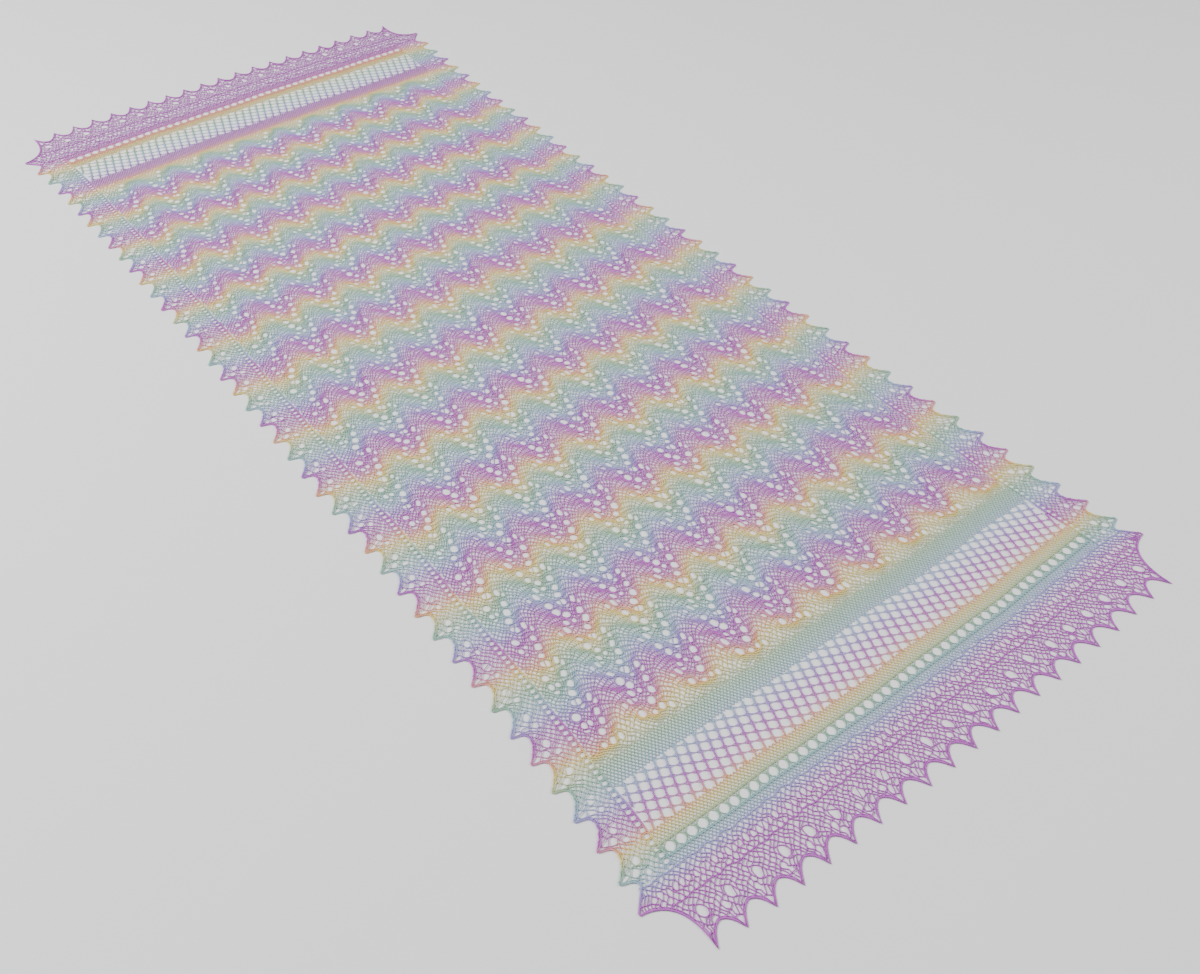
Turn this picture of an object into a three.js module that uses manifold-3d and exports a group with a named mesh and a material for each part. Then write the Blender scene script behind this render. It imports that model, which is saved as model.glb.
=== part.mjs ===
// A knitted lace stole laid out flat: a centre of wave lace, a border of eyelets and trellis at
// each end, and a toothed edging knitted round all four sides. X runs across the stole, Y along
// it from the near end to the far end, and Z up from the surface that it lies on.
import * as THREE from 'three';
import { mergeVertices } from 'three/addons/utils/BufferGeometryUtils.js';
import Module from 'manifold-3d';

const wasm = await Module();
wasm.setup();

// Driving dimensions, in millimetres
const LENGTH = 1680; // over the points of the end teeth, along the middle
const WIDTH = 700; // over the points of the side teeth, before the cloth is laid out
const THICKNESS = 1.5; // lace-weight wool in garter stitch
const SEAM_GAP = 0.3; // between pieces that are grafted together
const WAIST_PULL = 9; // how far each long side draws in at mid-length
const END_FLARE = 16; // how far each long side spreads at the ends
const FLARE_POWER = 5; // a higher power keeps the spread closer to the ends
const END_BOW = 7; // how far the corners lie inside the middle of an end
const RELIEF = 0.5; // height of cords that stand proud of the cloth

// Bands of the cloth, from the outside in
const SIDE_TOOTH_DEPTH = 15;
const SIDE_EDGING_WIDTH = 36; // from the valleys between side teeth to the fence cord
const END_TOOTH_DEPTH = 19;
const END_EDGING_DEPTH = 64; // from the valleys between end teeth to the border
const BORDER_DEPTH = 122; // from the end edging to the wave lace
const LAST_END_TOOTH = 310; // from the middle of an end to its last tooth

// Repeats
const SIDE_TEETH = 41;
const END_TEETH = 21;
const WAVES_ACROSS = 9;
const WAVES_ALONG = 23;
const WAVE_PITCH = 61.8;
const BORDER_EYELETS = 48;
const TRELLIS_CORDS = 47;

// Lines that the bands meet on, measured from the middle of the stole
const HALF_LENGTH = LENGTH / 2;
const HALF_WIDTH = WIDTH / 2;
const SIDE_VALLEY = HALF_WIDTH - SIDE_TOOTH_DEPTH;
const FENCE_LINE = SIDE_VALLEY - SIDE_EDGING_WIDTH;
const EDGING_LINE = HALF_LENGTH - END_TOOTH_DEPTH - END_EDGING_DEPTH;
const CENTRE_LINE = EDGING_LINE - BORDER_DEPTH;
const HALF_GAP = SEAM_GAP / 2;
const SEAM_STEPS = 12; // straight steps along a seam that bows

// One side tooth: share of the pitch toward the near end, and share of the depth outward
const SIDE_TOOTH = [
  { along: 0.0, out: 0.0 },
  { along: 0.2, out: 0.12 },
  { along: 0.45, out: 0.55 },
  { along: 0.62, out: 0.94 },
  { along: 0.69, out: 1.0 },
  { along: 0.73, out: 0.86 },
  { along: 0.77, out: 0.36 },
  { along: 0.86, out: 0.06 },
];
const END_ARCH_STEPS = 8; // straight steps in the arch between two end teeth
const END_ARCH_POWER = 1.9; // 2 is a parabola, and more is squarer

// The corner: how far back from the end points its tooth lies, how blunt that tooth is, and how far
// the hollow sweep to the last end tooth keeps below the corner tooth
const CORNER = { back: 64, blunt: 2.4, hollowDown: 7, steps: 6 };

// Eyelets cut through the lace. Back is the distance from the end points, turn is in radians, and the
// end eyelets are drawn in toward the middle so that the corner ones sit inside their teeth.
const END_EYELET = { back: 35, drawnIn: 0.975, width: 8.5, height: 13, turn: 0.35, sides: 8 };
const BORDER_EYELET = { back: 100, width: 9, height: 11.5, turn: 0, sides: 8 };
const WAVE_EYELET = { aside: 3, width: 7.6, height: 9.4, turn: 0, sides: 6 };

// Cords that stand proud: the slanted columns of the trellis, and the cord beside each fence of eyelets
const TRELLIS_CORD = { backOuter: 123, backInner: 178, pitch: 12.4, lean: 17.5, width: 1.6 };
const FENCE_CORD = { width: 1.8 };
const CORD_ROOT = 0.4; // how deep a cord's solid is sunk into the cloth that it belongs to

// The laid-out place of a knitted point: the long sides draw in, and the ends spread and bow out
function layOut({ x, y }) {
  const alongShare = y / HALF_LENGTH;
  const acrossShare = x / HALF_WIDTH;
  const waist = (WAIST_PULL / HALF_WIDTH) * (1 - alongShare * alongShare);
  const flare = (END_FLARE / HALF_WIDTH) * Math.abs(alongShare) ** FLARE_POWER;
  const bow = END_BOW * alongShare * acrossShare * acrossShare;
  return new THREE.Vector2(x * (1 - waist + flare), y - bow);
}

const point = (x, y) => ({ x, y });
const halfTurn = (points) => points.map(({ x, y }) => point(-x, -y));
const mirrorAcross = (points) => points.map(({ x, y }) => point(-x, y));

// Points on a straight line in knitted places, both ends included
function straight(from, to, steps = SEAM_STEPS) {
  return Array.from({ length: steps + 1 }, (_, i) => {
    const share = i / steps;
    return point(from.x + (to.x - from.x) * share, from.y + (to.y - from.y) * share);
  });
}

// An oval eyelet with a few straight sides
function eyelet(centre, { width, height, turn, sides }) {
  return Array.from({ length: sides }, (_, i) => {
    const angle = ((i + 0.5) / sides) * 2 * Math.PI;
    const across = (width / 2) * Math.cos(angle);
    const along = (height / 2) * Math.sin(angle);
    return point(
      centre.x + across * Math.cos(turn) - along * Math.sin(turn),
      centre.y + across * Math.sin(turn) + along * Math.cos(turn),
    );
  });
}

function extrude(outline, holes, depth) {
  const shape = new THREE.Shape(outline.map(layOut));
  shape.holes = holes.map((hole) => new THREE.Path(hole.map(layOut)));
  return new THREE.ExtrudeGeometry(shape, { depth, bevelEnabled: false });
}

function toSolid(geometry) {
  const bare = geometry.clone();
  bare.deleteAttribute('normal');
  bare.deleteAttribute('uv');
  const merged = mergeVertices(bare);
  return new wasm.Manifold(new wasm.Mesh({
    numProp: 3,
    vertProperties: new Float32Array(merged.attributes.position.array),
    triVerts: new Uint32Array(merged.index.array),
  }));
}

function toGeometry(solid) {
  const { vertProperties, triVerts } = solid.getMesh();
  const geometry = new THREE.BufferGeometry();
  geometry.setAttribute('position', new THREE.BufferAttribute(vertProperties, 3));
  geometry.setIndex(new THREE.BufferAttribute(triVerts, 1));
  geometry.computeVertexNormals();
  return geometry;
}

// A flat piece of lace with its eyelets cut and its cords raised in one solid
function lace({ name, outline, eyelets = [], cords = [], colour }) {
  let geometry = extrude(outline, eyelets, THICKNESS);
  if (cords.length > 0) {
    const raised = cords.map((cord) => {
      const strip = extrude(cord, [], CORD_ROOT + RELIEF);
      return toSolid(strip.translate(0, 0, THICKNESS - CORD_ROOT));
    });
    geometry = toGeometry(raised.reduce((cloth, cord) => cloth.add(cord), toSolid(geometry)));
  }
  const wool = new THREE.MeshStandardMaterial({ color: colour, roughness: 0.92, metalness: 0 });
  const mesh = new THREE.Mesh(geometry, wool);
  mesh.name = name;
  return mesh;
}

// Wave lace: one eyelet on every second wave, set like the squares of a chessboard
function centrePanel() {
  const edge = FENCE_LINE - HALF_GAP;
  const end = CENTRE_LINE - HALF_GAP;
  const outline = [
    ...straight(point(-edge, -end), point(edge, -end)),
    ...straight(point(edge, -end), point(edge, end)).slice(1),
    ...straight(point(edge, end), point(-edge, end)).slice(1),
    ...straight(point(-edge, end), point(-edge, -end)).slice(1, -1),
  ];
  const wavePitchAlong = (2 * CENTRE_LINE) / WAVES_ALONG;
  const eyelets = [];
  for (let column = 0; column <= WAVES_ACROSS; column++) {
    for (let row = 0; row < WAVES_ALONG; row++) {
      if ((column + row) % 2 === 0) {
        const x = (column - WAVES_ACROSS / 2) * WAVE_PITCH + WAVE_EYELET.aside;
        const y = CENTRE_LINE - (row + 0.5) * wavePitchAlong;
        eyelets.push(eyelet(point(x, y), WAVE_EYELET));
      }
    }
  }
  return { outline, eyelets };
}

// Near border: a row of eyelets, and a trellis of slanted cords over an even net
function nearBorder() {
  const edge = FENCE_LINE - HALF_GAP;
  const outer = -(EDGING_LINE - HALF_GAP);
  const inner = -(CENTRE_LINE + HALF_GAP);
  const outline = [
    ...straight(point(-edge, outer), point(edge, outer)),
    ...straight(point(edge, inner), point(-edge, inner)),
  ];
  const eyeletPitch = (2 * FENCE_LINE) / BORDER_EYELETS;
  const eyelets = Array.from({ length: BORDER_EYELETS }, (_, i) => {
    const x = (i + 0.5 - BORDER_EYELETS / 2) * eyeletPitch;
    return eyelet(point(x, BORDER_EYELET.back - HALF_LENGTH), BORDER_EYELET);
  });
  const { backOuter, backInner, pitch, lean, width } = TRELLIS_CORD;
  const cords = Array.from({ length: TRELLIS_CORDS }, (_, i) => {
    const foot = (i - (TRELLIS_CORDS - 1) / 2) * pitch - lean / 2;
    const head = foot + lean;
    return [
      point(foot - width / 2, backOuter - HALF_LENGTH),
      point(foot + width / 2, backOuter - HALF_LENGTH),
      point(head + width / 2, backInner - HALF_LENGTH),
      point(head - width / 2, backInner - HALF_LENGTH),
    ];
  });
  return { outline, eyelets, cords };
}

// The corner of the near edging, from the side seam round the corner tooth to the last end tooth
function nearRightCorner() {
  const toothPoint = new THREE.Vector2(HALF_WIDTH, CORNER.back - HALF_LENGTH);
  const toothUnder = new THREE.Vector2(HALF_WIDTH, toothPoint.y - CORNER.blunt);
  const lastEndTooth = new THREE.Vector2(LAST_END_TOOTH, -HALF_LENGTH);
  const hollow = new THREE.Vector2(LAST_END_TOOTH, toothPoint.y - CORNER.hollowDown);
  const sweep = new THREE.QuadraticBezierCurve(lastEndTooth, hollow, toothUnder);
  return [
    ...sweep.getPoints(CORNER.steps).slice(1),
    toothPoint,
    point(SIDE_VALLEY + SIDE_TOOTH_DEPTH / 2, (toothPoint.y - EDGING_LINE) / 2),
  ];
}

// Near edging: end teeth with an arch between each two, and one long eyelet in each tooth
function nearEdging() {
  const pitch = (2 * LAST_END_TOOTH) / (END_TEETH - 1);
  const seam = -(EDGING_LINE + HALF_GAP);
  const teeth = [];
  for (let tooth = 0; tooth < END_TEETH - 1; tooth++) {
    for (let step = 0; step < END_ARCH_STEPS; step++) {
      const share = step / END_ARCH_STEPS;
      const arch = 1 - Math.abs(2 * share - 1) ** END_ARCH_POWER;
      const x = -LAST_END_TOOTH + (tooth + share) * pitch;
      teeth.push(point(x, -HALF_LENGTH + END_TOOTH_DEPTH * arch));
    }
  }
  teeth.push(point(LAST_END_TOOTH, -HALF_LENGTH));
  const corner = nearRightCorner();
  const outline = [
    ...teeth,
    ...corner,
    ...straight(point(SIDE_VALLEY, seam), point(-SIDE_VALLEY, seam)),
    ...mirrorAcross(corner).reverse(),
  ];
  const eyelets = Array.from({ length: END_TEETH }, (_, i) => {
    const x = (i - (END_TEETH - 1) / 2) * pitch * END_EYELET.drawnIn;
    return eyelet(point(x, END_EYELET.back - HALF_LENGTH), END_EYELET);
  });
  return { outline, eyelets };
}

// Right edging: side teeth that point outward and toward the near end, and the fence cord
function rightEdging() {
  const end = EDGING_LINE - HALF_GAP;
  const inner = FENCE_LINE + HALF_GAP;
  const pitch = (2 * end) / SIDE_TEETH;
  const teeth = [];
  for (let tooth = 0; tooth < SIDE_TEETH; tooth++) {
    for (const { along, out } of SIDE_TOOTH) {
      teeth.push(point(SIDE_VALLEY + SIDE_TOOTH_DEPTH * out, end - (tooth + along) * pitch));
    }
  }
  const outline = [
    ...teeth,
    point(SIDE_VALLEY, -end),
    ...straight(point(inner, -end), point(inner, end)),
  ];
  const cord = [
    ...straight(point(inner, end), point(inner, -end)),
    ...straight(point(inner + FENCE_CORD.width, -end), point(inner + FENCE_CORD.width, end)),
  ];
  return { outline, cords: [cord] };
}

function turned({ outline, eyelets = [], cords = [] }, turn) {
  return { outline: turn(outline), eyelets: eyelets.map(turn), cords: cords.map(turn) };
}

const ORCHID = '#c48ccb';
const SEA_GREEN = '#a9c3ae';
const ROSE_GREY = '#c3b2c0';
const STRAW = '#cfc5a6';

const border = nearBorder();
const endEdging = nearEdging();
const sideEdging = rightEdging();

const stole = new THREE.Group();
stole.add(
  lace({ name: 'centre_panel', ...centrePanel(), colour: ROSE_GREY }),
  lace({ name: 'near_border', ...border, colour: SEA_GREEN }),
  lace({ name: 'far_border', ...turned(border, halfTurn), colour: SEA_GREEN }),
  lace({ name: 'near_edging', ...endEdging, colour: ORCHID }),
  lace({ name: 'far_edging', ...turned(endEdging, halfTurn), colour: ORCHID }),
  lace({ name: 'right_edging', ...sideEdging, colour: STRAW }),
  lace({ name: 'left_edging', ...turned(sideEdging, mirrorAcross), colour: STRAW }),
);

export default stole;
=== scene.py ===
"""A knitted lace stole laid out flat, with every strand of its net spun as yarn.

Until a strand is spun, lengths are in millimetres and a place is that of the knitting before it is laid out:
across runs from left to right, along runs from the near end to the far end, and height is above the floor.
"""
from collections import namedtuple

import bpy
import numpy as np
from mathutils import Matrix, Vector


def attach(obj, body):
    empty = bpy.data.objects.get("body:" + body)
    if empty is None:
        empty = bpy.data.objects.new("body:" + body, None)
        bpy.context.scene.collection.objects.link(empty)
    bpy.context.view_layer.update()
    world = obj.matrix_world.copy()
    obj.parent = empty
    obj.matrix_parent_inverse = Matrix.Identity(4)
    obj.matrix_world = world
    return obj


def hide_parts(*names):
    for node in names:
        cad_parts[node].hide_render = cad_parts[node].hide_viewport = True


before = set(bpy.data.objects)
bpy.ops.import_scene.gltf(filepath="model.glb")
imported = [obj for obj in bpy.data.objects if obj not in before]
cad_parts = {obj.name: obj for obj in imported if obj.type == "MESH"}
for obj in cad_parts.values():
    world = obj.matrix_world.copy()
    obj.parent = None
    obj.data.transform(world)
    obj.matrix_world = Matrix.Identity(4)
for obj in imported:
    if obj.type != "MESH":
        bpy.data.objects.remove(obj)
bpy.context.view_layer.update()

MM = 0.001
SEED = 23
chance = np.random.default_rng(SEED)

# Sizes that the solids have too
HALF_LENGTH = 840.0
HALF_WIDTH = 350.0
WAIST_PULL = 9.0  # how far each long side draws in at mid-length
END_FLARE = 16.0  # how far each long side spreads at the ends
FLARE_POWER = 5  # a higher power keeps the spread closer to the ends
END_BOW = 7.0  # how far the corners lie inside the middle of an end
SIDE_VALLEY = 335.0  # line of the valleys between side teeth
FENCE_LINE = 299.0  # line of the cord where the side edging meets the centre
EDGING_LINE = 757.0  # line where an end edging meets its border
CENTRE_LINE = 635.0  # line where a border meets the wave lace
SIDE_TOOTH_DEPTH = 15.0
SIDE_TEETH = 41
END_TOOTH_DEPTH = 19.0
END_TEETH = 21
END_ARCH_POWER = 1.9
LAST_END_TOOTH = 310.0
CORNER_TOOTH = -776.0  # how far along the near corner teeth lie
CORNER_BLUNT = 2.4
CORNER_HOLLOW = 7.0  # how far below its corner tooth the sweep to the last end tooth bends
WAVES_ACROSS = 9
WAVES_ALONG = 23
WAVE_PITCH = 61.8
BORDER_EYELETS = 48
TRELLIS_CORDS = 47
TRELLIS_PITCH = 12.4
TRELLIS_LEAN = 17.5  # how far a trellis cord moves across between its foot and its head

# One side tooth: share of the pitch toward the near end, and share of the depth outward
ToothPoint = namedtuple("ToothPoint", "along out")
SIDE_TOOTH = (
    ToothPoint(0.0, 0.0),
    ToothPoint(0.2, 0.12),
    ToothPoint(0.45, 0.55),
    ToothPoint(0.62, 0.94),
    ToothPoint(0.69, 1.0),
    ToothPoint(0.73, 0.86),
    ToothPoint(0.77, 0.36),
    ToothPoint(0.86, 0.06),
    ToothPoint(1.0, 0.0),
)
SIDE_TOOTH_TIP = 0.69

# Yarn, as radii, and the heights that the strands lie at. A cord is two plies twisted round each other.
YARN_SIDES = 3
LACE_YARN = 0.64
GARTER_YARN = 0.56
CORD_YARN = 1.3
RUNG_YARN = 0.4
RIM_YARN = 1.0
LOWER_LAYER = 0.66
MIDDLE_LAYER = 0.95
UPPER_LAYER = 1.3
CORD_LAYER = 1.15 * CORD_YARN
PLY_RADIUS = 0.6  # as a share of the cord's radius
PLY_OFFSET = 0.5
TRELLIS_TWIST = 7.0  # length of one turn of a cord's twist
FENCE_TWIST = 8.0

# Wave lace: each wave is a lattice of slanting strands, drawn into waves and opened at its eyelets
HALF_STITCHES_PER_WAVE = 22
LEVELS_PER_WAVE = 18
HALF_STITCH = WAVE_PITCH / HALF_STITCHES_PER_WAVE
LEVEL = 2 * CENTRE_LINE / WAVES_ALONG / LEVELS_PER_WAVE
WAVE_HEIGHT = 11.0  # a row swings this far to each side of its middle
WAVE_FADE = 30.0  # the waves flatten out over this length at each end
CENTRE_MARGIN = 7  # half stitches of plain net outside the first and last valley
CENTRE_PIECES = 5

# Eyelets to the right of a valley, measured from where its line crosses the middle of its row. The next half
# row has the same ones to the left.
Eyelet = namedtuple("Eyelet", "right up width height")
WAVE_EYELETS = (
    Eyelet(2.9, 0.0, 7.6, 9.4),
    Eyelet(2.3, -9.9, 5.3, 6.6),
    Eyelet(8.2, -10.4, 5.8, 9.3),
    Eyelet(14.6, -15.4, 5.8, 9.9),
    Eyelet(5.8, -17.6, 5.3, 5.5),
    Eyelet(20.4, -18.7, 4.7, 7.7),
    Eyelet(10.5, 11.0, 7.6, 10.4),
    Eyelet(14.0, 23.1, 7.0, 9.3),
)
STEPS = 4  # points along a strand for each column that it crosses
EYELET_REACH = 2.4  # strands are drawn aside out to this many eyelet radii
EYELET_UNEVEN = 0.15
EYELET_EASE = 1.15  # how much wider an eyelet is drawn when the lace is stretched out
EYELETS_PAST_VALLEY = 9.0  # eyelets reach this far outside the first and last valley
EYELETS_SHORT_OF_END = 12.0  # and stop this far short of the borders

# Eyelets of a side tooth, outward from the valley line and up from the tooth's point
SIDE_EYELETS = (
    Eyelet(-10.0, 12.0, 8.0, 11.0),
    Eyelet(-4.0, 3.0, 7.4, 9.0),
    Eyelet(-13.5, -2.0, 6.4, 7.4),
    Eyelet(5.5, 2.0, 5.0, 5.0),
)
# Eyelets of an end tooth, from the middle of the tooth and up from its point
END_EYELETS = (
    Eyelet(0.0, 35.0, 9.4, 14.0),
    Eyelet(-6.8, 26.0, 6.4, 8.0),
    Eyelet(-1.5, 18.0, 5.6, 7.0),
    Eyelet(7.0, 23.0, 5.0, 6.4),
    Eyelet(0.0, 10.0, 3.8, 5.6),
)
END_EYELETS_DRAWN_IN = 0.975
# Two rows of long eyelets right across an end edging, one for each step of the ladder
END_LADDER = (
    Eyelet(3.0, 66.0, 4.6, 8.0),
    Eyelet(6.6, 57.5, 4.2, 5.6),
)
END_LADDER_PITCH = 7.2

# The yarn's dye runs through one cycle of colours between each two of these lilac bands, which are measured
# from the points of the far end
LILAC_BANDS = (78, 186, 262, 352, 444, 543, 632, 734, 850, 963, 1074, 1184, 1301, 1417, 1534, 1614)
DyeStop = namedtuple("DyeStop", "place colour")
DYE_CYCLE = (
    DyeStop(0.0, (0.54, 0.12, 0.58)),
    DyeStop(0.13, (0.60, 0.17, 0.57)),
    DyeStop(0.22, (0.74, 0.29, 0.40)),
    DyeStop(0.29, (0.87, 0.44, 0.23)),
    DyeStop(0.36, (0.84, 0.66, 0.19)),
    DyeStop(0.44, (0.70, 0.69, 0.36)),
    DyeStop(0.54, (0.34, 0.56, 0.38)),
    DyeStop(0.65, (0.33, 0.55, 0.53)),
    DyeStop(0.76, (0.38, 0.50, 0.71)),
    DyeStop(0.87, (0.40, 0.27, 0.70)),
    DyeStop(1.0, (0.54, 0.12, 0.58)),
)


# Unevenness as ripples: their size, the lengths that they take across and along, and where they start
Ripple = namedtuple("Ripple", "size across along start", defaults=(0,))
HAND_SIDEWAYS = (Ripple(0.7, 90, 37), Ripple(0.4, -41, 13.7))
HAND_LENGTHWAYS = (Ripple(0.7, 33, 120), Ripple(0.4, 14.9, -57))
STITCH_SIDEWAYS = (Ripple(0.75, 4.7, 3.1), Ripple(0.6, -5.9, 2.3, 1))
STITCH_LENGTHWAYS = (Ripple(0.75, 2.9, -5.3), Ripple(0.6, 3.7, 3.3, 2))

# Bands of a border, as distances from the points of its end, with the net's levels between them
BORDER_EYELET_ROW = (94.2, 105.8)
TRELLIS_BAND = (122.5, 178.5)
STITCHES_PER_BORDER_EYELET = 3
OUTER_NET_LEVELS = 4
MIDDLE_NET_LEVELS = 6
INNER_NET_LEVELS = 9
RUNG_SLOPE = 0.48  # how far a rung drops along the stole for each millimetre across
RUNGS_PER_GAP = 5
RUNG_FORK = 2.5  # how far a rung's two threads part at a cord

# The net of the end edging
END_STITCHES = 116
END_LEVELS = 17
END_EYELET_TURN = 0.35
TURNED_ABOVE = 10.0  # only eyelets taller than this are turned
DRAWN_IN_FROM = 10.0  # eyelets are drawn in from this far above the points, and fully so
DRAWN_IN_OVER = 25.0  # this much higher
CORNER_FADE = 25.0  # the teeth fade out of the net over this length beyond the last one
END_MARGIN = 2.0  # the net keeps this far inside the corner teeth
END_THREADS = (0.02, 0.45)  # threads straight across, as shares of the depth

# The net and fence of a side edging
SIDE_STITCHES = 5
SIDE_LEVEL = 3.5
FENCE_PITCH = 7.4
FENCE_INNER = FENCE_LINE + 1.0
FENCE_OUTER = FENCE_LINE + 7.5


def ripple_pull(ripples, across, along):
    return sum(r.size * np.sin(across / r.across + along / r.along + r.start) for r in ripples)


def lay_out(across, along):
    """Where a knitted place lies on the floor: the long sides draw in, and the ends spread and bow out."""
    along_share = along / HALF_LENGTH
    across_share = across / HALF_WIDTH
    waist = WAIST_PULL / HALF_WIDTH * (1 - along_share**2)
    flare = END_FLARE / HALF_WIDTH * np.abs(along_share) ** FLARE_POWER
    bow = END_BOW * along_share * across_share**2
    return across * (1 - waist + flare), along - bow


def hand_drift(across, along):
    """The small uneven drifts of hand knitting and blocking, as a few slow waves."""
    return ripple_pull(HAND_SIDEWAYS, across, along), ripple_pull(HAND_LENGTHWAYS, across, along)


def unruly(across, along):
    """Places of the open lace, drawn out of line by the uneven pull of its stitches."""
    sideways = ripple_pull(STITCH_SIDEWAYS, across, along)
    lengthways = ripple_pull(STITCH_LENGTHWAYS, across, along)
    return across + sideways, along + lengthways


def dye_of(row):
    """How many colour cycles the dye has run through at a row, counted from the far end."""
    return np.interp(HALF_LENGTH - row, LILAC_BANDS, np.arange(len(LILAC_BANDS)))


class Skein:
    """The strands of one piece. Each point has a place, the row that sets its dye, and a yarn radius."""

    TOLERANCE = 0.22  # a point this near the line between its neighbours is left out
    LONGEST_STEP = 30.0
    PASSES = 5

    def __init__(self):
        self.points = []
        self.rows = []
        self.radii = []
        self.strands = []
        self.used = 0

    def add(self, across, along, height, radius, row=None, inside=None):
        """Adds a strand for each row of these arrays, cut wherever a point isn't inside."""
        across = np.atleast_2d(across)
        row = along if row is None else row
        across, along, height, radius, row = np.broadcast_arrays(across, along, height, radius, row)
        inside = np.ones(across.shape, bool) if inside is None else inside
        strands, steps = across.shape
        number = self.used + np.arange(strands)[:, None] * (steps + 1) + np.cumsum(~inside, axis=1)
        self.used += strands * (steps + 1)
        self.points.append(np.stack([across[inside], along[inside], height[inside]], axis=1))
        self.rows.append(row[inside])
        self.radii.append(radius[inside])
        self.strands.append(number[inside])

    def half_turned(self):
        """The same strands at the other end of the stole."""
        turned = Skein()
        turned.points = [points * (-1, -1, 1) for points in self.points]
        turned.rows = [-rows for rows in self.rows]
        turned.radii = self.radii
        turned.strands = self.strands
        return turned

    def mirrored(self):
        """The same strands on the other side of the stole."""
        other = Skein()
        other.points = [points * (-1, 1, 1) for points in self.points]
        other.rows = self.rows
        other.radii = self.radii
        other.strands = self.strands
        return other

    def thinned(self):
        """All points, rows, radii and links, without the points that a straight strand doesn't need."""
        points = np.concatenate(self.points)
        rows = np.concatenate(self.rows)
        radii = np.concatenate(self.radii)
        strands = np.concatenate(self.strands)
        for _ in range(self.PASSES):
            count = np.arange(len(points))
            first = np.r_[True, strands[1:] != strands[:-1]]
            place = count - np.maximum.accumulate(np.where(first, count, 0))
            chord = points[2:] - points[:-2]
            length = np.maximum(np.linalg.norm(chord, axis=1), 1e-9)
            aside = np.linalg.norm(np.cross(points[1:-1] - points[:-2], chord), axis=1) / length
            spare = (strands[2:] == strands[:-2]) & (place[1:-1] % 2 == 1)
            spare &= (aside < self.TOLERANCE) & (length < self.LONGEST_STEP)
            kept = np.r_[True, ~spare, True]
            points, rows, radii, strands = points[kept], rows[kept], radii[kept], strands[kept]
        linked = np.flatnonzero(strands[1:] == strands[:-1])
        links = np.stack([linked, linked + 1], axis=1)
        return points, rows, radii, links


def input_socket(tree, name, kind, value=None):
    socket = tree.interface.new_socket(name, in_out="INPUT", socket_type=kind)
    if value is not None:
        socket.default_value = value


def spun_yarn_tree():
    """Geometry nodes that spin a round yarn along every path of a wire mesh."""
    tree = bpy.data.node_groups.new("spun_yarn", "GeometryNodeTree")
    input_socket(tree, "Paths", "NodeSocketGeometry")
    input_socket(tree, "Sides", "NodeSocketInt", YARN_SIDES)
    input_socket(tree, "Plumpness", "NodeSocketFloat", 1.0)
    input_socket(tree, "Wool", "NodeSocketMaterial")
    tree.interface.new_socket("Yarn", in_out="OUTPUT", socket_type="NodeSocketGeometry")
    nodes, links = tree.nodes, tree.links
    given = nodes.new("NodeGroupInput")
    paths = nodes.new("GeometryNodeMeshToCurve")
    ring = nodes.new("GeometryNodeCurvePrimitiveCircle")
    radius = nodes.new("GeometryNodeInputNamedAttribute")
    radius.data_type = "FLOAT"
    radius.inputs["Name"].default_value = "yarn_radius"
    plump = nodes.new("ShaderNodeMath")
    plump.operation = "MULTIPLY"
    sweep = nodes.new("GeometryNodeCurveToMesh")
    sweep.inputs["Fill Caps"].default_value = True
    smooth = nodes.new("GeometryNodeSetShadeSmooth")
    real = nodes.new("GeometryNodeRealizeInstances")
    finish = nodes.new("GeometryNodeSetMaterial")
    out = nodes.new("NodeGroupOutput")
    ring.inputs["Radius"].default_value = 1.0
    links.new(given.outputs["Paths"], paths.inputs["Mesh"])
    links.new(given.outputs["Sides"], ring.inputs["Resolution"])
    links.new(radius.outputs["Attribute"], plump.inputs[0])
    links.new(given.outputs["Plumpness"], plump.inputs[1])
    links.new(paths.outputs["Curve"], sweep.inputs["Curve"])
    links.new(ring.outputs["Curve"], sweep.inputs["Profile Curve"])
    links.new(plump.outputs[0], sweep.inputs["Scale"])
    links.new(sweep.outputs["Mesh"], smooth.inputs["Geometry"])
    links.new(smooth.outputs["Geometry"], real.inputs["Geometry"])
    links.new(real.outputs["Geometry"], finish.inputs["Geometry"])
    links.new(given.outputs["Wool"], finish.inputs["Material"])
    links.new(finish.outputs["Geometry"], out.inputs["Yarn"])
    return tree


def grow(name, source_mesh, tree, values):
    """A plain mesh object that a geometry node tree makes from a source mesh, with its inputs set by name."""
    source = bpy.data.objects.new(name + "_source", source_mesh)
    bpy.context.scene.collection.objects.link(source)
    modifier = source.modifiers.new("made", "NODES")
    modifier.node_group = tree
    for item in tree.interface.items_tree:
        if item.item_type == "SOCKET" and item.name in values:
            modifier[item.identifier] = values[item.name]
    layers = bpy.context.evaluated_depsgraph_get()
    made = bpy.data.meshes.new_from_object(source.evaluated_get(layers), depsgraph=layers)
    bpy.data.objects.remove(source)
    made.name = name
    piece = bpy.data.objects.new(name, made)
    bpy.context.scene.collection.objects.link(piece)
    return piece


def wire_mesh(name, places, links, **attributes):
    mesh = bpy.data.meshes.new(name + "_paths")
    mesh.vertices.add(len(places))
    mesh.vertices.foreach_set("co", np.asarray(places, np.float32).ravel())
    mesh.edges.add(len(links))
    mesh.edges.foreach_set("vertices", np.asarray(links, np.int32).ravel())
    for attribute, values in attributes.items():
        layer = mesh.attributes.new(attribute, "FLOAT", "POINT")
        layer.data.foreach_set("value", np.asarray(values, np.float32))
    mesh.update()
    return mesh


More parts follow.
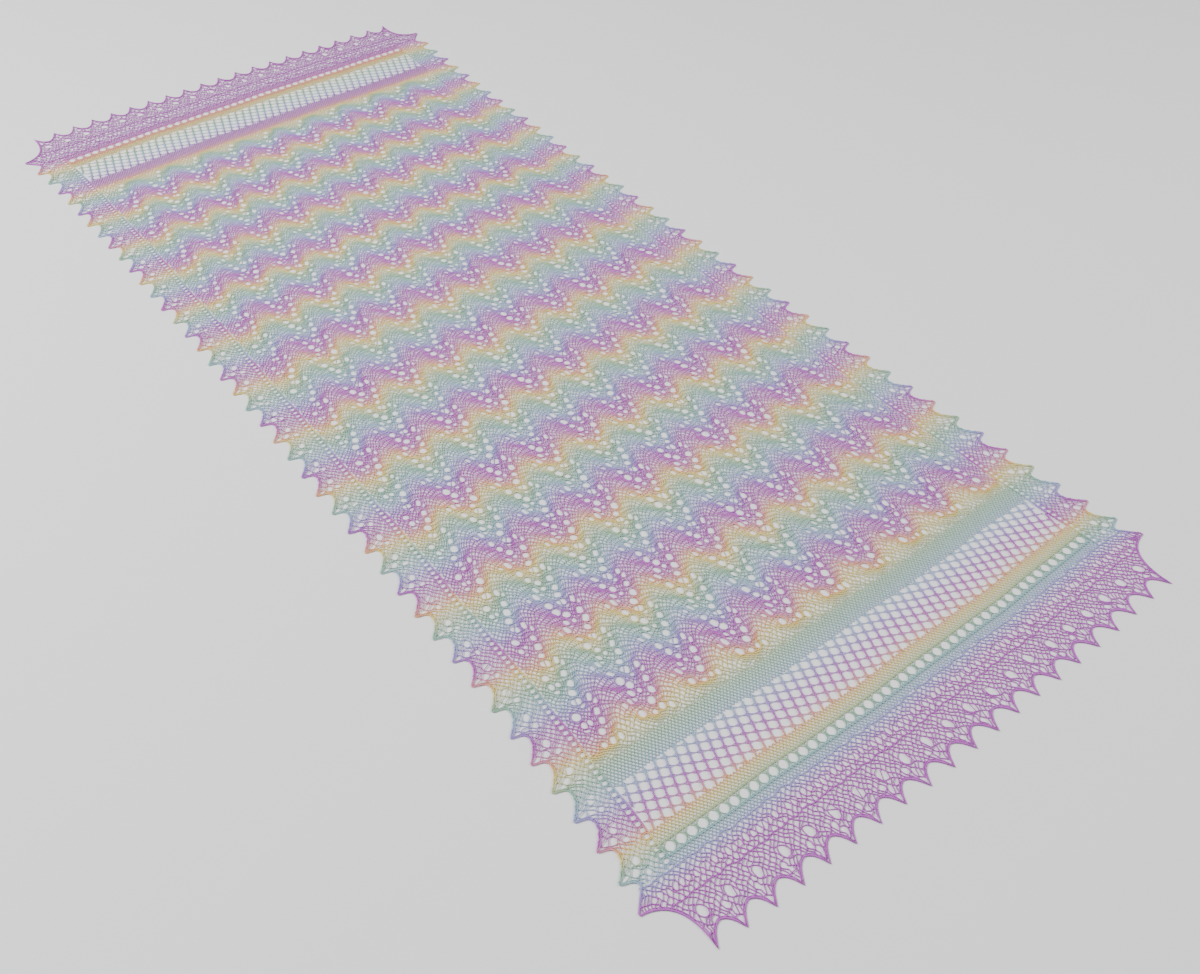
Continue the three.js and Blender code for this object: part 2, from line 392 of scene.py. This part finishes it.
def map_from_above(mesh):
    """Gives a piece the map that its colours are baked through: a view from straight above, which leans a
    little so that upright faces have some width in it."""
    lean = 0.35
    places = np.empty(3 * len(mesh.vertices), np.float32)
    mesh.vertices.foreach_get("co", places)
    places = places.reshape(-1, 3)
    corners = np.empty(len(mesh.loops), np.int32)
    mesh.loops.foreach_get("vertex_index", corners)
    flat = places[:, :2] + lean * places[:, 2:]
    flat -= flat.min(axis=0)
    flat /= flat.max(axis=0)
    layer = mesh.uv_layers.new(name="OFBake")
    layer.data.foreach_set("uv", flat[corners].ravel())


def spin(name, skein, wool):
    """Spins a skein into one mesh piece in the stole's own frame, in metres."""
    points, rows, radii, links = skein.thinned()
    sideways, lengthways = hand_drift(points[:, 0], points[:, 1])
    x, y = lay_out(points[:, 0] + sideways, points[:, 1] + lengthways)
    places = np.stack([x, y, points[:, 2]], axis=1) * MM
    paths = wire_mesh(name, places, links, dye=dye_of(rows), yarn_radius=radii * MM)
    piece = grow(name, paths, YARN, {"Sides": YARN_SIDES, "Plumpness": 1.0, "Wool": wool})
    map_from_above(piece.data)
    return piece


def slanted(columns, levels, rising):
    """One family of slanting strands over a lattice: columns and levels, with a strand on each row and a few
    points in each step, and which points are inside the lattice."""
    column = np.arange(STEPS * columns + 1) / STEPS
    first = -2 * ((columns + 1) // 2) if rising else 0
    last = levels if rising else columns + levels
    start = np.arange(first, last + 1, 2)[:, None]
    level = start + column if rising else start - column
    column = np.broadcast_to(column, level.shape)
    inside = (level >= 0) & (level <= levels)
    return column, level, inside


def open_eyelets(across, along, eyelets):
    """Draws strands aside round eyelets, given as rows of right, up, half width, half height and turn."""
    shape = across.shape
    across, along = across.ravel(), along.ravel()
    order = np.argsort(along)
    sorted_along = along[order]
    moved_across, moved_along = across.copy(), along.copy()
    for right, up, half_width, half_height, turn in eyelets:
        reach = EYELET_REACH * max(half_width, half_height)
        low, high = np.searchsorted(sorted_along, (up - reach, up + reach))
        near = order[low:high]
        near = near[np.abs(across[near] - right) < reach]
        from_right = across[near] - right
        from_up = along[near] - up
        cos, sin = np.cos(turn), np.sin(turn)
        wide = (from_right * cos + from_up * sin) / half_width
        tall = (from_up * cos - from_right * sin) / half_height
        radius = np.maximum(np.hypot(wide, tall), 1e-3)
        stretch = (1 + radius**-3) ** (1 / 3) - 1
        stretch *= radius < EYELET_REACH
        moved_across[near] += from_right * stretch
        moved_along[near] += from_up * stretch
    return moved_across.reshape(shape), moved_along.reshape(shape)


def uneven(count):
    return 1 + chance.uniform(-EYELET_UNEVEN, EYELET_UNEVEN, count)


def twisted(skein, across, along, height, radius, pitch, inside=None):
    """Adds two strands twisted round each path, a path on each row."""
    across = np.atleast_2d(across)
    along = np.broadcast_to(along, across.shape)
    step_across = np.gradient(across, axis=1)
    step_along = np.gradient(along, axis=1)
    step = np.maximum(np.hypot(step_across, step_along), 1e-9)
    phase = np.cumsum(step, axis=1) * 2 * np.pi / pitch
    ply_radius = PLY_RADIUS * radius
    ply_offset = PLY_OFFSET * radius
    for ply in (0, np.pi):
        aside = ply_offset * np.cos(phase + ply)
        lift = ply_offset * np.sin(phase + ply)
        skein.add(across - aside * step_along / step, along + aside * step_across / step,
                  height + lift, ply_radius, along, inside)


# The wave-lace centre

def wave(across, along):
    """How far a row swings along the stole at a place, toward the far end on the peaks."""
    edge = WAVES_ACROSS / 2 * WAVE_PITCH
    swing = -np.cos(2 * np.pi * (np.clip(across, -edge, edge) + edge) / WAVE_PITCH)
    fade = np.clip((CENTRE_LINE - np.abs(along)) / WAVE_FADE, 0, 1)
    return WAVE_HEIGHT * swing * fade * fade * (3 - 2 * fade)


def wave_eyelets(first_column):
    """Every eyelet of the centre, set on the middle of a cell of its lattice."""
    edge = WAVES_ACROSS / 2 * WAVE_PITCH
    found = []
    for half_row in range(2 * WAVES_ALONG):
        side = 1 if half_row % 2 == 0 else -1
        middle = CENTRE_LINE - (half_row + 1) * LEVELS_PER_WAVE / 2 * LEVEL
        for valley in range(WAVES_ACROSS + 1):
            line = (valley - WAVES_ACROSS / 2) * WAVE_PITCH
            for eyelet in WAVE_EYELETS:
                across = line + side * eyelet.right
                up = middle + eyelet.up
                if abs(across) < edge + EYELETS_PAST_VALLEY and abs(up) < CENTRE_LINE - EYELETS_SHORT_OF_END:
                    found.append((across, up, eyelet.width / 2, eyelet.height / 2))
    across, up, half_width, half_height = np.array(found).T
    level = np.round((up - wave(across, up) + CENTRE_LINE) / LEVEL)
    exact = (across - first_column) / HALF_STITCH
    odd = 1 - level % 2
    column = 2 * np.round((exact - odd) / 2) + odd
    across = first_column + column * HALF_STITCH
    row = level * LEVEL - CENTRE_LINE
    size = EYELET_EASE * uneven(len(across))
    across, along = unruly(across, row + wave(across, row))
    eyelets = np.stack([across, along, half_width * size, half_height * size, 0 * size], axis=1)
    _, once = np.unique(np.stack([level, column], axis=1), axis=0, return_index=True)
    return eyelets[once]


def centre_skeins():
    """The centre in a few skeins, each a run of whole waves."""
    first_column = -WAVES_ACROSS / 2 * WAVE_PITCH - CENTRE_MARGIN * HALF_STITCH
    columns = WAVES_ACROSS * HALF_STITCHES_PER_WAVE + 2 * CENTRE_MARGIN
    levels = WAVES_ALONG * LEVELS_PER_WAVE
    eyelets = wave_eyelets(first_column)
    skeins = [Skein() for _ in range(CENTRE_PIECES)]
    cuts = np.linspace(0, levels, CENTRE_PIECES + 1).round()
    for rising, height in ((True, LOWER_LAYER), (False, UPPER_LAYER)):
        column, level, inside = slanted(columns, levels, rising)
        across = first_column + column * HALF_STITCH
        row = level * LEVEL - CENTRE_LINE
        across, along = open_eyelets(*unruly(across, row + wave(across, row)), eyelets)
        for skein, low, high in zip(skeins, cuts[:-1], cuts[1:]):
            part = inside & (level >= low) & (level <= high)
            skein.add(across, along, height, LACE_YARN, row, part)
    return skeins


# The borders

def net_band(skein, left, right, stitches, low, high, levels):
    """A straight band of fine garter net."""
    columns = 2 * stitches
    for rising, height in ((True, LOWER_LAYER), (False, UPPER_LAYER)):
        column, level, inside = slanted(columns, levels, rising)
        across = left + (right - left) * column / columns
        along = low + (high - low) * level / levels
        skein.add(across, along, height, GARTER_YARN, inside=inside)


def eyelet_row(skein, left, right, count, low, high):
    """A row of round eyelets between posts of three strands, with threads above and below."""
    pitch = (right - left) / count
    share = np.linspace(-1, 1, 9)
    along = (low + high) / 2 + share * (high - low) / 2
    post = left + pitch * np.arange(count + 1)[:, None]
    for side in (-1, 0, 1):
        lean = side * (0.75 + (pitch / 2 - 2.2) * np.abs(share) ** 2.6)
        skein.add(post + lean, along + 0 * post, MIDDLE_LAYER + 0.2 * side, LACE_YARN)
    thread = np.linspace(left, right, 4 * count + 1)
    for edge, away in ((low, -1), (high, 1)):
        for line in range(2):
            skein.add(thread, edge + away * (0.5 + 1.3 * line) + 0 * thread, MIDDLE_LAYER, LACE_YARN)


def trellis(skein, low, high):
    """Slanted twisted cords, with forked threads that cross them the other way round oval holes."""
    steps = 28
    share = np.linspace(0, 1, steps)
    cord = np.arange(TRELLIS_CORDS + 4) - (TRELLIS_CORDS + 3) / 2
    foot = cord[:, None] * TRELLIS_PITCH - TRELLIS_LEAN / 2
    edge = FENCE_LINE - 1.5
    across = foot + TRELLIS_LEAN * share
    along = low + (high - low) * share + 0 * foot
    twisted(skein, across, along, CORD_LAYER, CORD_YARN, TRELLIS_TWIST, inside=np.abs(across) < edge)
    rung_gap = (high - low) / RUNGS_PER_GAP
    line = np.arange(-edge, edge, TRELLIS_PITCH / 6)
    start = np.arange(0, high - low + RUNG_SLOPE * 2 * edge, rung_gap)[:, None]
    level = low + start - RUNG_SLOPE * (line + edge)
    line = line + 0 * level
    inside = (level > low - 1) & (level < high + 1)
    between = (line - TRELLIS_LEAN * (level - low) / (high - low) - foot[0]) / TRELLIS_PITCH % 1
    spread = RUNG_FORK * np.abs(2 * between - 1) ** 2.4
    for fork in (-1, 1):
        skein.add(line, level + fork * spread, LOWER_LAYER + 0.2, RUNG_YARN, level, inside)


def near_border_skein():
    skein = Skein()
    edge = FENCE_LINE - 0.8
    eyelet_low, eyelet_high = (back - HALF_LENGTH for back in BORDER_EYELET_ROW)
    trellis_low, trellis_high = (back - HALF_LENGTH for back in TRELLIS_BAND)
    stitches = STITCHES_PER_BORDER_EYELET * BORDER_EYELETS
    net_band(skein, -edge, edge, stitches, -EDGING_LINE, eyelet_low, OUTER_NET_LEVELS)
    eyelet_row(skein, -edge, edge, BORDER_EYELETS, eyelet_low, eyelet_high)
    net_band(skein, -edge, edge, stitches, eyelet_high, trellis_low, MIDDLE_NET_LEVELS)
    trellis(skein, trellis_low, trellis_high)
    net_band(skein, -edge, edge, stitches, trellis_high, -CENTRE_LINE, INNER_NET_LEVELS)
    return skein


# The end edgings

def corner_sweep():
    """The hollow edge from the last end tooth to the corner tooth, as points from the near right corner."""
    start = np.array([LAST_END_TOOTH, -HALF_LENGTH])
    bend = np.array([LAST_END_TOOTH, CORNER_TOOTH - CORNER_HOLLOW])
    stop = np.array([HALF_WIDTH, CORNER_TOOTH - CORNER_BLUNT])
    share = np.linspace(0, 1, 24)[:, None]
    return (1 - share) ** 2 * start + 2 * share * (1 - share) * bend + share**2 * stop


def end_edge(across):
    """How far out the near edging reaches at a place across it, as a place along the stole."""
    reach = np.abs(across)
    share = (reach + LAST_END_TOOTH) * (END_TEETH - 1) / (2 * LAST_END_TOOTH) % 1
    arch = 1 - np.abs(2 * share - 1) ** END_ARCH_POWER
    teeth = -HALF_LENGTH + END_TOOTH_DEPTH * arch
    sweep = corner_sweep()
    return np.where(reach < LAST_END_TOOTH, teeth, np.interp(reach, sweep[:, 0], sweep[:, 1]))


def end_seam(across):
    """Where the near edging starts: on its border, and outside that along the back of the corner tooth."""
    outside = np.clip((np.abs(across) - SIDE_VALLEY) / SIDE_TOOTH_DEPTH, 0, 1)
    return -EDGING_LINE + (CORNER_TOOTH + EDGING_LINE) * outside


def end_eyelets():
    """The eyelets of the near edging, in its teeth and in the two rows across it."""
    tooth_pitch = 2 * LAST_END_TOOTH / (END_TEETH - 1)
    eyelets = []
    for tooth in range(END_TEETH):
        middle = -LAST_END_TOOTH + tooth * tooth_pitch
        for eyelet in END_EYELETS:
            share = np.clip((eyelet.up - DRAWN_IN_FROM) / DRAWN_IN_OVER, 0, 1)
            across = middle * (1 - (1 - END_EYELETS_DRAWN_IN) * share) + eyelet.right
            turn = END_EYELET_TURN if eyelet.height > TURNED_ABOVE else 0.0
            eyelets.append((across, eyelet.up - HALF_LENGTH, eyelet.width / 2, eyelet.height / 2, turn))
    for row in END_LADDER:
        for across in np.arange(-SIDE_VALLEY + row.right, SIDE_VALLEY, END_LADDER_PITCH):
            size = uneven(1)[0] / 2
            eyelets.append((across, row.up - HALF_LENGTH, row.width * size, row.height * size, 0.0))
    return eyelets


def near_edging_skein():
    skein = Skein()
    columns = 2 * END_STITCHES
    depth = HALF_LENGTH - END_TOOTH_DEPTH - EDGING_LINE
    eyelets = end_eyelets()
    limit = HALF_WIDTH - END_MARGIN

    def place(column, share):
        across = -limit + 2 * limit * column / columns
        outside = np.clip((np.abs(across) - LAST_END_TOOTH) / CORNER_FADE, 0, 1)
        tooth = EDGING_LINE + depth + end_edge(np.clip(across, -LAST_END_TOOTH, LAST_END_TOOTH))
        along = end_seam(across) - depth * share + tooth * (1 - outside) * np.clip(share, 0, 1) ** 3.5
        across, along = open_eyelets(*unruly(across, along), eyelets)
        return across, along, along > end_edge(across) + 0.4

    for rising, height in ((True, LOWER_LAYER), (False, UPPER_LAYER)):
        column, level, inside = slanted(columns, END_LEVELS, rising)
        across, along, within = place(column, level / END_LEVELS)
        skein.add(across, along, height, LACE_YARN, inside=inside & within)
    line = np.linspace(0, columns, 700)[None, :]
    for share in END_THREADS:
        across, along, within = place(line, share + 0 * line)
        skein.add(across, along, MIDDLE_LAYER, LACE_YARN, inside=within)
    rim(skein, *end_outline())
    return skein


def end_outline():
    """The near end's outer edge, from the left corner tooth round to the right one."""
    across = np.linspace(-LAST_END_TOOTH, LAST_END_TOOTH, (END_TEETH - 1) * 20 + 1)
    along = end_edge(np.clip(across, -LAST_END_TOOTH + 0.01, LAST_END_TOOTH - 0.01))
    sweep = corner_sweep()
    back = np.array([[HALF_WIDTH, CORNER_TOOTH], [SIDE_VALLEY, -EDGING_LINE]])
    corner = np.concatenate([sweep, back])
    left = corner[::-1] * (-1, 1)
    outline = np.concatenate([left[:-1], np.stack([across, along], axis=1), corner[1:]])
    return outline[:, 0], outline[:, 1]


def rim(skein, across, along):
    """Two strands along an outer edge, just inside it."""
    step = np.stack([np.gradient(across), np.gradient(along)], axis=1)
    step /= np.maximum(np.linalg.norm(step, axis=1, keepdims=True), 1e-9)
    inward = np.stack([-step[:, 1], step[:, 0]], axis=1)
    blur = np.ones(7) / 7
    inward = np.stack([np.convolve(part, blur, mode="same") for part in inward.T], axis=1)
    for inset, height, radius in ((0.8, RIM_YARN, RIM_YARN), (2.5, UPPER_LAYER, GARTER_YARN)):
        skein.add(across + inset * inward[:, 0], along + inset * inward[:, 1], height, radius)


# The side edgings

def side_edge(along):
    """How far out the right edging reaches at a place along it."""
    pitch = 2 * EDGING_LINE / SIDE_TEETH
    share = (EDGING_LINE - along) / pitch % 1
    out = np.interp(share, [p.along for p in SIDE_TOOTH], [p.out for p in SIDE_TOOTH])
    return SIDE_VALLEY + SIDE_TOOTH_DEPTH * out


def side_outline():
    """The right edging's outer edge, from the near end to the far end."""
    along = np.linspace(-EDGING_LINE, EDGING_LINE, SIDE_TEETH * 24 + 1)
    return side_edge(along), along


def right_edging_skein():
    skein = Skein()
    levels = 2 * round(2 * EDGING_LINE / SIDE_LEVEL / 2)
    columns = 2 * SIDE_STITCHES
    tooth_pitch = 2 * EDGING_LINE / SIDE_TEETH
    eyelets = []
    for tooth in range(SIDE_TEETH):
        tip = EDGING_LINE - (tooth + SIDE_TOOTH_TIP) * tooth_pitch
        for eyelet in SIDE_EYELETS:
            across = SIDE_VALLEY + eyelet.right
            eyelets.append((across, tip + eyelet.up, eyelet.width / 2, eyelet.height / 2, 0.0))

    def place(share, along):
        straight = SIDE_VALLEY - FENCE_OUTER
        across = FENCE_OUTER + straight * share + (side_edge(along) - SIDE_VALLEY) * share**2.5
        pull_across, pull_along = unruly(across, along)
        loose = 4 * share * (1 - share)
        across = across + (pull_across - across) * loose
        along = along + (pull_along - along) * loose
        return open_eyelets(across, along, eyelets)

    for rising, height in ((True, LOWER_LAYER), (False, UPPER_LAYER)):
        column, level, inside = slanted(columns, levels, rising)
        row = EDGING_LINE * (2 * level / levels - 1)
        across, along = place(column / columns, row)
        skein.add(across, along, height, LACE_YARN, row, inside & (np.abs(along) < EDGING_LINE))
    steps = np.linspace(-EDGING_LINE, EDGING_LINE, 900)
    rungs = np.arange(-EDGING_LINE + FENCE_PITCH / 2, EDGING_LINE, FENCE_PITCH)[:, None]
    share = np.linspace(0, 1, 7)
    across = FENCE_INNER + (FENCE_OUTER - FENCE_INNER) * share + 0 * rungs
    for fork in (-1, 1):
        spread = fork * (0.45 + 1.7 * np.abs(2 * share - 1) ** 2.5)
        skein.add(across, rungs + spread, MIDDLE_LAYER, LACE_YARN)
    twisted(skein, FENCE_INNER + 0 * steps, steps, CORD_LAYER, CORD_YARN, FENCE_TWIST)
    skein.add(FENCE_OUTER + 0 * steps, steps, MIDDLE_LAYER, LACE_YARN)
    rim(skein, *side_outline())
    return skein


# Looks

def dyed_wool_group():
    """Shader group: the colour, roughness and fluff of hand-dyed wool, from how far the dye has run."""
    tree = bpy.data.node_groups.new("hand_dyed_wool", "ShaderNodeTree")
    input_socket(tree, "Dye", "NodeSocketFloat", 0.0)
    input_socket(tree, "Drift", "NodeSocketFloat", 0.05)
    input_socket(tree, "Fleck", "NodeSocketFloat", 0.25)
    tree.interface.new_socket("Colour", in_out="OUTPUT", socket_type="NodeSocketColor")
    tree.interface.new_socket("Roughness", in_out="OUTPUT", socket_type="NodeSocketFloat")
    tree.interface.new_socket("Fluff", in_out="OUTPUT", socket_type="NodeSocketFloat")
    nodes, links = tree.nodes, tree.links
    given = nodes.new("NodeGroupInput")
    out = nodes.new("NodeGroupOutput")
    place = nodes.new("ShaderNodeTexCoord")
    blotch = nodes.new("ShaderNodeTexNoise")
    blotch.inputs["Scale"].default_value = 38.0
    blotch.inputs["Detail"].default_value = 2.0
    centred = nodes.new("ShaderNodeMath")
    centred.operation = "SUBTRACT"
    centred.inputs[1].default_value = 0.5
    drifted = nodes.new("ShaderNodeMath")
    drifted.operation = "MULTIPLY_ADD"
    cycle = nodes.new("ShaderNodeMath")
    cycle.operation = "FRACT"
    ramp = nodes.new("ShaderNodeValToRGB")
    stops = ramp.color_ramp.elements
    stops[0].position = DYE_CYCLE[0].place
    stops[0].color = (*DYE_CYCLE[0].colour, 1)
    stops[1].position = DYE_CYCLE[-1].place
    stops[1].color = (*DYE_CYCLE[-1].colour, 1)
    for stop in DYE_CYCLE[1:-1]:
        stops.new(stop.place).color = (*stop.colour, 1)
    fibre = nodes.new("ShaderNodeTexNoise")
    fibre.inputs["Scale"].default_value = 900.0
    fibre.inputs["Detail"].default_value = 3.0
    light = nodes.new("ShaderNodeMapRange")
    light.inputs["To Min"].default_value = -0.5
    light.inputs["To Max"].default_value = 0.5
    strength = nodes.new("ShaderNodeMath")
    strength.operation = "MULTIPLY_ADD"
    strength.inputs[2].default_value = 1.0
    flecked = nodes.new("ShaderNodeMix")
    flecked.data_type = "RGBA"
    flecked.blend_type = "MULTIPLY"
    flecked.inputs["Factor"].default_value = 1.0
    rough = nodes.new("ShaderNodeMapRange")
    rough.inputs["To Min"].default_value = 0.8
    rough.inputs["To Max"].default_value = 1.0
    links.new(place.outputs["Object"], blotch.inputs["Vector"])
    links.new(place.outputs["Object"], fibre.inputs["Vector"])
    links.new(blotch.outputs["Fac"], centred.inputs[0])
    links.new(centred.outputs[0], drifted.inputs[0])
    links.new(given.outputs["Drift"], drifted.inputs[1])
    links.new(given.outputs["Dye"], drifted.inputs[2])
    links.new(drifted.outputs[0], cycle.inputs[0])
    links.new(cycle.outputs[0], ramp.inputs["Fac"])
    links.new(fibre.outputs["Fac"], light.inputs["Value"])
    links.new(light.outputs["Result"], strength.inputs[0])
    links.new(given.outputs["Fleck"], strength.inputs[1])
    links.new(ramp.outputs["Color"], flecked.inputs["A"])
    links.new(strength.outputs[0], flecked.inputs["B"])
    links.new(fibre.outputs["Fac"], rough.inputs["Value"])
    links.new(flecked.outputs["Result"], out.inputs["Colour"])
    links.new(rough.outputs["Result"], out.inputs["Roughness"])
    links.new(fibre.outputs["Fac"], out.inputs["Fluff"])
    return tree


def wool(name, sheen, fleck):
    """Soft lace-weight wool whose colour follows the dye of the rows that it is knitted in."""
    material = bpy.data.materials.new(name)
    material.use_nodes = True
    nodes, links = material.node_tree.nodes, material.node_tree.links
    shader = nodes["Principled BSDF"]
    shader.inputs["Sheen Weight"].default_value = sheen
    shader.inputs["Sheen Roughness"].default_value = 0.45
    shader.inputs["Specular IOR Level"].default_value = 0.25
    dye = nodes.new("ShaderNodeAttribute")
    dye.attribute_name = "dye"
    dyed = nodes.new("ShaderNodeGroup")
    dyed.node_tree = DYED_WOOL
    dyed.inputs["Fleck"].default_value = fleck
    bump = nodes.new("ShaderNodeBump")
    bump.inputs["Strength"].default_value = 0.35
    bump.inputs["Distance"].default_value = 0.0002
    links.new(dye.outputs["Fac"], dyed.inputs["Dye"])
    links.new(dyed.outputs["Colour"], shader.inputs["Base Color"])
    links.new(dyed.outputs["Roughness"], shader.inputs["Roughness"])
    links.new(dyed.outputs["Fluff"], bump.inputs["Height"])
    links.new(bump.outputs["Normal"], shader.inputs["Normal"])
    return material


def floor():
    size = 6.0
    level = -0.0002
    mesh = bpy.data.meshes.new("floor")
    corners = [(-size, -size, level), (size, -size, level), (size, size, level), (-size, size, level)]
    mesh.from_pydata(corners, [], [(0, 1, 2, 3)])
    plane = bpy.data.objects.new("floor", mesh)
    bpy.context.scene.collection.objects.link(plane)
    paper = bpy.data.materials.new("pale_paper")
    paper.use_nodes = True
    shader = paper.node_tree.nodes["Principled BSDF"]
    shader.inputs["Base Color"].default_value = (0.92, 0.92, 0.93, 1)
    shader.inputs["Roughness"].default_value = 0.95
    shader.inputs["Specular IOR Level"].default_value = 0.1
    mesh.materials.append(paper)


def lamp(name, place, aim, size, watts):
    light = bpy.data.lights.new(name, "AREA")
    light.shape = "DISK"
    light.size = size
    light.energy = watts
    holder = bpy.data.objects.new(name, light)
    holder.location = place
    holder.rotation_mode = "QUATERNION"
    holder.rotation_quaternion = (Vector(aim) - Vector(place)).to_track_quat("-Z", "Y")
    bpy.context.scene.collection.objects.link(holder)


def studio():
    floor()
    lamp("key_softbox", (-1.6, 1.2, 2.6), (0, 0, 0), 1.6, 120)
    lamp("fill_softbox", (1.8, -1.8, 2.4), (0, 0, 0), 2.2, 52)
    world = bpy.data.worlds.new("studio")
    world.use_nodes = True
    world.node_tree.nodes["Background"].inputs["Color"].default_value = (1, 1, 1, 1)
    world.node_tree.nodes["Background"].inputs["Strength"].default_value = 0.45
    bpy.context.scene.world = world


def camera():
    """The photograph's view: from the near left, looking down along the stole."""
    place = Vector((-0.6508, -1.1037, 1.0050))
    aim = Vector((-0.0735, -0.3422, 0.0))
    roll = np.radians(-0.53)
    lens = bpy.data.cameras.new("camera")
    lens.sensor_width = 36.0
    lens.lens = 35.74
    holder = bpy.data.objects.new("camera", lens)
    turn = (aim - place).to_track_quat("-Z", "Y").to_matrix().to_4x4()
    holder.matrix_world = Matrix.Translation(place) @ turn @ Matrix.Rotation(roll, 4, "Z")
    bpy.context.scene.collection.objects.link(holder)
    bpy.context.scene.camera = holder


def lace_piece(name, skein, node):
    """Spins a skein into a piece under the root body and hides the solid that it stands for."""
    piece = spin(name, skein, LACE_WOOL)
    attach(piece, "root")
    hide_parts(node)


camera()
studio()
YARN = spun_yarn_tree()
DYED_WOOL = dyed_wool_group()
LACE_WOOL = wool("lace_wool", 0.15, 0.3)

for number, skein in enumerate(centre_skeins(), 1):
    lace_piece(f"centre_lace_{number}", skein, "centre_panel")

border = near_border_skein()
lace_piece("near_border_lace", border, "near_border")
lace_piece("far_border_lace", border.half_turned(), "far_border")

end_edging = near_edging_skein()
lace_piece("near_edging_lace", end_edging, "near_edging")
lace_piece("far_edging_lace", end_edging.half_turned(), "far_edging")

side_edging = right_edging_skein()
lace_piece("right_edging_lace", side_edging, "right_edging")
lace_piece("left_edging_lace", side_edging.mirrored(), "left_edging")
